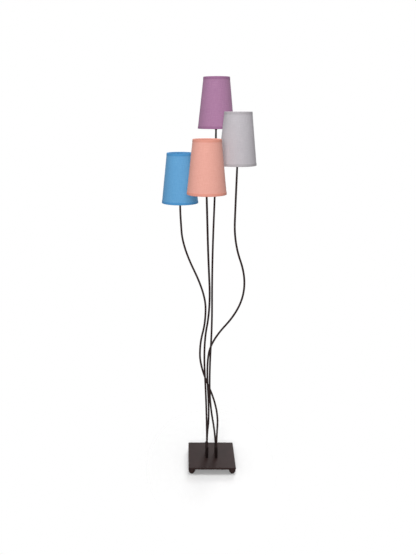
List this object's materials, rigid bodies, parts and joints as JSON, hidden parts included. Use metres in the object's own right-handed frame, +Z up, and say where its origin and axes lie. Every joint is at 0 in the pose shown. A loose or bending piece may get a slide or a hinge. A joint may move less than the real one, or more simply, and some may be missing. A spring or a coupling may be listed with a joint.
{
  "type": "floor lamp",
  "caption": "Tree floor lamp: bent steel tube arms rise from a square plate on ball feet, each to its own tapered cloth shade.",
  "frame": {"origin": "on the floor under the middle of the square base plate; the tray under the plate ends 4 mm above it", "axes": "+Z up, +X to the right and -Y towards the viewer as in the picture, both square with the plate"},
  "size_m": [0.366, 0.425, 1.611],
  "materials": {
    "brown_steel": "satin powder coat",
    "zinc_steel": "zinc plated",
    "black_plastic": "moulded, matt",
    "white_plastic": "moulded, matt",
    "lead": "smooth flexible sheath",
    "holder_plastic": "moulded, glossy",
    "cap_metal": "rolled thread",
    "opal_glass": "opal white",
    "blue_cloth": "plain weave on a stiff lining",
    "salmon_cloth": "plain weave on a stiff lining",
    "purple_cloth": "plain weave on a stiff lining",
    "grey_cloth": "plain weave on a stiff lining",
    "frame_wire": "white powder coat"
  },
  "bodies": {
    "root": {"base_plate": "brown_steel", "foot_front_left": "brown_steel", "foot_front_right": "brown_steel", "foot_back_left": "brown_steel", "foot_back_right": "brown_steel", "foot_studs": "zinc_steel", "foot_glides": "black_plastic", "arm_nuts": "zinc_steel", "arm_washers": "zinc_steel", "wiring_cover": "brown_steel", "cover_screws": "brown_steel", "terminal_block": "white_plastic", "earth_screw": "zinc_steel", "cord_gland": "black_plastic", "gland_nut": "zinc_steel", "leads_lower": "lead", "socket_blue": "brown_steel", "arm_lower_blue": "brown_steel", "socket_salmon": "brown_steel", "arm_lower_salmon": "brown_steel", "socket_purple": "brown_steel", "arm_lower_purple": "brown_steel", "socket_grey": "brown_steel", "arm_lower_grey": "brown_steel"},
    "arm_blue": {"arm_upper_blue": "brown_steel", "lead_upper_blue": "lead"},
    "head_blue": {"neck_blue": "brown_steel", "lampholder_blue": "holder_plastic", "shade_ring_blue": "holder_plastic", "bulb_cap_blue": "cap_metal", "bulb_glass_blue": "opal_glass", "shade_blue": "blue_cloth", "shade_frame_blue": "frame_wire"},
    "arm_salmon": {"arm_upper_salmon": "brown_steel", "lead_upper_salmon": "lead"},
    "head_salmon": {"neck_salmon": "brown_steel", "lampholder_salmon": "holder_plastic", "shade_ring_salmon": "holder_plastic", "bulb_cap_salmon": "cap_metal", "bulb_glass_salmon": "opal_glass", "shade_salmon": "salmon_cloth", "shade_frame_salmon": "frame_wire"},
    "arm_purple": {"arm_upper_purple": "brown_steel", "lead_upper_purple": "lead"},
    "head_purple": {"neck_purple": "brown_steel", "lampholder_purple": "holder_plastic", "shade_ring_purple": "holder_plastic", "bulb_cap_purple": "cap_metal", "bulb_glass_purple": "opal_glass", "shade_purple": "purple_cloth", "shade_frame_purple": "frame_wire"},
    "arm_grey": {"arm_upper_grey": "brown_steel", "lead_upper_grey": "lead"},
    "head_grey": {"neck_grey": "brown_steel", "lampholder_grey": "holder_plastic", "shade_ring_grey": "holder_plastic", "bulb_cap_grey": "cap_metal", "bulb_glass_grey": "opal_glass", "shade_grey": "grey_cloth", "shade_frame_grey": "frame_wire"}
  },
  "joints": [
    {"name": "blue_arm_bend", "type": "hinge", "parent": "root", "child": "arm_blue", "pos_m": [-0.0305, 0.008, 0.7075], "axis": [-0.53, -0.848, 0], "range_deg": [-4, 30]},
    {"name": "blue_shade_tilt", "type": "hinge", "parent": "arm_blue", "child": "head_blue", "pos_m": [-0.134, 0.086, 1.12], "axis": [-0.53, -0.848, 0], "range_deg": [-8, 35]},
    {"name": "salmon_arm_bend", "type": "hinge", "parent": "root", "child": "arm_salmon", "pos_m": [-0.019, -0.067, 0.8415], "axis": [0.9539, -0.3, 0], "range_deg": [-1, 30]},
    {"name": "salmon_shade_tilt", "type": "hinge", "parent": "arm_salmon", "child": "head_salmon", "pos_m": [-0.034, -0.118, 1.182], "axis": [0.9539, -0.3, 0], "range_deg": [-4, 35]},
    {"name": "purple_arm_bend", "type": "hinge", "parent": "root", "child": "arm_purple", "pos_m": [-0.0025, 0.048, 0.71], "axis": [-1, 0, 0], "range_deg": [-2, 30]},
    {"name": "purple_shade_tilt", "type": "hinge", "parent": "arm_purple", "child": "head_purple", "pos_m": [0.01, 0.16, 1.407], "axis": [-1, 0, 0], "range_deg": [-6, 35]},
    {"name": "grey_arm_bend", "type": "hinge", "parent": "root", "child": "arm_grey", "pos_m": [0.1205, 0.0005, 0.767], "axis": [0, 1, 0], "range_deg": [-1, 30]},
    {"name": "grey_shade_tilt", "type": "hinge", "parent": "arm_grey", "child": "head_grey", "pos_m": [0.085, -0.002, 1.276], "axis": [0, 1, 0], "range_deg": [-4, 35]}
  ]
}
